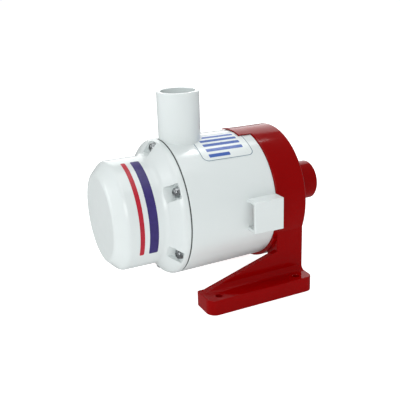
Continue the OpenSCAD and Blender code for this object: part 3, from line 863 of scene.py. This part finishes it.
def seam_gasket():
    """Dark gasket between the cap and the housing, slightly sunk."""
    half = GASKET / 2
    inner, outer = CAP_R - CAP_WALL, SEAM_R - 0.2
    outline = rounded([(inner, SEAM - half, 0), (outer, SEAM - half, 0.2),
                       (outer, SEAM + half, 0.2), (inner, SEAM + half, 0)], 3)
    piece = turned("seam_gasket", outline, ON_AXIS, steps=BODY_STEPS)
    combine(piece, screw_rods("clear", SCREW_CLEAR, SEAM - 2, SEAM + 2), "DIFFERENCE")
    finish_piece(piece, gasket_rubber, "pump_unit", "gasket_rubber", "cap_gasket")


def cap_screws():
    """Flanged pan-head screws with a cross recess."""
    flange_r, flange, head_r, height = 4.75, 0.9, 4.3, 4.6
    shank_r, length = 2.4, 15
    outline = [(0, -height)]
    outline += rounded([(0, -height, 0), (head_r, -height, 2.2), (head_r, -flange, 0.1),
                        (flange_r, -flange, 0.3), (flange_r, 0, 0.1), (shank_r, 0, 0),
                        (shank_r, length, 0.6), (0, length, 0)], 4)[1:]
    arm, half = 2.4, 0.55
    cross = [(half, half), (arm, half), (arm, -half), (half, -half), (half, -arm), (-half, -arm),
             (-half, -half), (-arm, -half), (-arm, half), (-half, half), (-half, arm), (half, arm)]
    bm = bmesh.new()
    recess = bmesh.new()
    for i, turn in enumerate(round_copies(SCREW_COUNT)):
        place = turn @ Matrix.Translation((0, SEAM - POCKET_FLOOR, AXIS_Z + SCREW_CIRCLE))
        place = place @ Matrix.Rotation(-math.pi / 2, 4, "X")
        turned_mesh(bm, outline, place, steps=40)
        slot = place @ Matrix.Rotation(math.radians(37 * i), 4, "Z")
        prism_mesh(recess, cross, -height - 1, -height + 1.5, slot)
    piece = new_object("cap_screw_set", bm)
    combine(piece, new_object("recess", recess), "DIFFERENCE")
    finish_piece(piece, screw_steel, "pump_unit", "stainless", "cap_screws")


# ---------- label and stripes ----------

def patch_stops(half_v, corner, slices):
    """Rows across a sheet, closer together in its round corners."""
    bends = [corner * (1 - math.cos(math.pi / 2 * i / 6)) for i in range(6)]
    straight = [-half_v + corner + 2 * (half_v - corner) * i / slices for i in range(slices + 1)]
    return [-half_v + bend for bend in bends] + straight + [half_v - bend for bend in bends[::-1]]


def patch_rim(rows, columns):
    """Grid places once round a sheet's edge."""
    rim = [(j, columns) for j in range(rows)]
    rim += [(rows - 1, i) for i in range(columns - 1, -1, -1)]
    rim += [(j, 0) for j in range(rows - 2, -1, -1)]
    rim += [(0, i) for i in range(1, columns)]
    return rim


def patch_face(bm, uv, corners):
    """Adds a face through (vertex, UV) corners."""
    made = bm.faces.new([vertex for vertex, _ in corners])
    for loop, (_, place) in zip(made.loops, corners):
        loop[uv].uv = place


def curved_patch(bm, y0, y1, a0, a1, radius_at, low, thick, corner, slices=28):
    """Adds a thin curved sheet with round corners between two stations and two angles.

    Angles are above the +X side, in degrees. UVs are millimetres from the sheet's middle.
    """
    uv = bm.loops.layers.uv.verify()
    mid_y, mid_a = (y0 + y1) / 2, math.radians((a0 + a1) / 2)
    half_u = abs(y1 - y0) / 2
    mean_r = radius_at(mid_y)
    half_v = math.radians(a1 - a0) / 2 * mean_r
    stops = patch_stops(half_v, corner, slices)
    columns = 24
    skins = []
    for lift in (low, low + thick):
        grid = []
        for v in stops:
            over = max(0.0, abs(v) - (half_v - corner))
            reach = half_u - corner + math.sqrt(max(0.0, corner ** 2 - over ** 2))
            a = mid_a + v / mean_r
            row = []
            for i in range(columns + 1):
                u = reach * (2 * i / columns - 1)
                r = radius_at(mid_y + u) + lift
                point = (r * math.cos(a), mid_y + u, AXIS_Z + r * math.sin(a))
                row.append((bm.verts.new(point), (u, v)))
            grid.append(row)
        skins.append(grid)
    for grid in skins:
        for j in range(len(stops) - 1):
            for i in range(columns):
                patch_face(bm, uv, (grid[j][i], grid[j][i + 1], grid[j + 1][i + 1], grid[j + 1][i]))
    below, above = skins
    rim = patch_rim(len(stops), columns)
    for (j, i), (m, n) in zip(rim, rim[1:] + rim[:1]):
        patch_face(bm, uv, (below[j][i], below[m][n], above[m][n], above[j][i]))
    return half_u, half_v


def housing_radius(y):
    """Outer radius of the tapered housing at a station along its axis."""
    share = (y - HOUSING_FRONT) / (HOUSING_REAR - HOUSING_FRONT)
    return SEAM_R + (HOUSING_REAR_R - SEAM_R) * share


def body_label():
    """Label film on the housing, cut out round the outlet's foot."""
    bm = bmesh.new()
    half_u, half_v = curved_patch(bm, LABEL_FRONT, LABEL_REAR, LABEL_LOW, LABEL_HIGH,
                                  housing_radius, PRINT_LIFT, 0.14, LABEL_CORNER)
    piece = new_object("label_film", bm)
    clear = turned("clear", rod_outline(SPIGOT_R + 0.8, AXIS_Z, AXIS_Z + SEAM_R + 1),
                   Matrix.Translation((0, OUTLET_Y, 0)), steps=TUBE_STEPS)
    combine(piece, clear, "DIFFERENCE")
    film = label_material(half_u, half_v, LABEL_CORNER)
    finish_piece(piece, film, "pump_unit", "body_label", "body_label")


def cap_radius(_):
    """Outer radius of the cap, the same at every station."""
    return CAP_R


def cap_stripes():
    """Two plain parallel stripes part of the way round the cap."""
    stripes = (("stripes_navy", STRIPE_NAVY, SEAM - 33, SEAM - 25),
               ("stripes_red", STRIPE_RED, SEAM - 41.5, SEAM - 37.5))
    for name, colour, y0, y1 in stripes:
        bm = bmesh.new()
        curved_patch(bm, y0, y1, STRIPE_LOW, STRIPE_HIGH, cap_radius, PRINT_LIFT, 0.09, 1.2, 60)
        piece = new_object(name, bm)
        finish_piece(piece, stripe_material(name, colour), "pump_unit", "cap_decal", "cap_decal")


# ---------- CAD nodes that stay ----------

def dress_cad_nodes():
    """Gives each CAD node that still shows the material of its slot."""
    for row in frame["record"]["subparts"]:
        node = frame["nodes"][row["node"]]
        if node.hide_render:
            continue
        material = SLOT_MATERIALS[row["material_slot"]]
        node.data.materials.clear()
        node.data.materials.append(material)


# ---------- studio ----------

def floor():
    """Pale floor that glows more to the camera than to the pump, and isn't mirrored in it."""
    bm = bmesh.new()
    size = 40
    corners = ((-size, -size, 0), (size, -size, 0), (size, size, 0), (-size, size, 0))
    bm.faces.new([bm.verts.new(corner) for corner in corners])
    plane = new_object("studio_floor", bm)
    s = Shader("studio_floor")
    s.colour(s.ramp(s.noise(3), (0.80, 0.80, 0.80), (0.82, 0.82, 0.82)))
    s.bsdf.inputs["Roughness"].default_value = 0.9
    s.bsdf.inputs["Specular IOR Level"].default_value = 0.0
    s.bsdf.inputs["Emission Color"].default_value = (1, 1, 1, 1)
    path = s.tree.nodes.new("ShaderNodeLightPath")
    glow_to_pump, glow_to_camera = 0.32, 0.78
    glow = s.spread(path.outputs["Is Camera Ray"], glow_to_pump, glow_to_camera, 0.0, 1.0)
    s.link(glow, s.bsdf.inputs["Emission Strength"])
    plane.data.materials.append(s.material)
    plane.visible_glossy = False


def area_light(name, place, target, width, height, glow):
    """A soft panel that the camera doesn't see, its glow the brightness of its face."""
    data = bpy.data.lights.new(name, "AREA")
    data.shape = "RECTANGLE"
    data.size = width
    data.size_y = height
    data.energy = glow * math.pi * width * height
    lamp = bpy.data.objects.new(name, data)
    lamp.location = place
    lamp.rotation_euler = (Vector(target) - Vector(place)).to_track_quat("-Z", "Y").to_euler()
    lamp.visible_camera = False
    bpy.context.scene.collection.objects.link(lamp)


def lights():
    """Soft panels, and a pale surround that the camera sees as white."""
    world = bpy.data.worlds.new("studio")
    world.use_nodes = True
    sky = world.node_tree.nodes["Background"]
    sky.inputs["Color"].default_value = (0.97, 0.99, 1.0, 1)
    path = world.node_tree.nodes.new("ShaderNodeLightPath")
    glow = world.node_tree.nodes.new("ShaderNodeMapRange")
    glow.inputs["To Min"].default_value = 0.3
    glow.inputs["To Max"].default_value = 1.1
    world.node_tree.links.new(path.outputs["Is Camera Ray"], glow.inputs["Value"])
    world.node_tree.links.new(glow.outputs["Result"], sky.inputs["Strength"])
    bpy.context.scene.world = world
    middle = (0, 0, 0.08)
    panels = (
        ("overhead", (0.1, 0, 1.5), middle, 1.2, 1.2, 1.55),
        ("backdrop", (-1.3, 1.0, 0.85), (0, 0, 0.3), 2.6, 1.2, 1.6),
        ("ring_glint", (-0.41, 0.62, 1.4), middle, 0.26, 0.22, 13.0),
        ("key", (1.2, -0.9, 0.7), middle, 0.9, 0.7, 4.15),
        ("fill", (-0.5, -1.3, 0.5), middle, 0.8, 0.7, 2.2),
    )
    for panel in panels:
        area_light(*panel)


def camera():
    """Looks at the pump from its cap side and a little above, with a slight roll."""
    azimuth, elevation, roll = math.radians(65.04), math.radians(19.08), math.radians(-2.12)
    distance = 0.64305
    aim = Vector((-0.03485, -0.0079, 0.0671))
    back = Vector((math.sin(azimuth) * math.cos(elevation),
                   -math.cos(azimuth) * math.cos(elevation), math.sin(elevation)))
    right = Vector((math.cos(azimuth), math.sin(azimuth), 0))
    up = back.cross(right)
    across = right * math.cos(roll) + up * math.sin(roll)
    upward = up * math.cos(roll) - right * math.sin(roll)
    data = bpy.data.cameras.new("camera")
    data.sensor_width = 36
    data.lens = 57.58
    data.clip_start = 0.02
    data.clip_end = 60
    eye = bpy.data.objects.new("camera", data)
    eye.matrix_world = Matrix.Translation(aim + back * distance) @ Matrix(
        (across, upward, back)).transposed().to_4x4()
    bpy.context.scene.collection.objects.link(eye)
    bpy.context.scene.camera = eye
    bpy.context.scene.view_settings.view_transform = "Standard"


camera()
lights()
floor()
base_casting()
housing_shell()
cap_shell()
seam_gasket()
cap_screws()
body_label()
cap_stripes()
dress_cad_nodes()
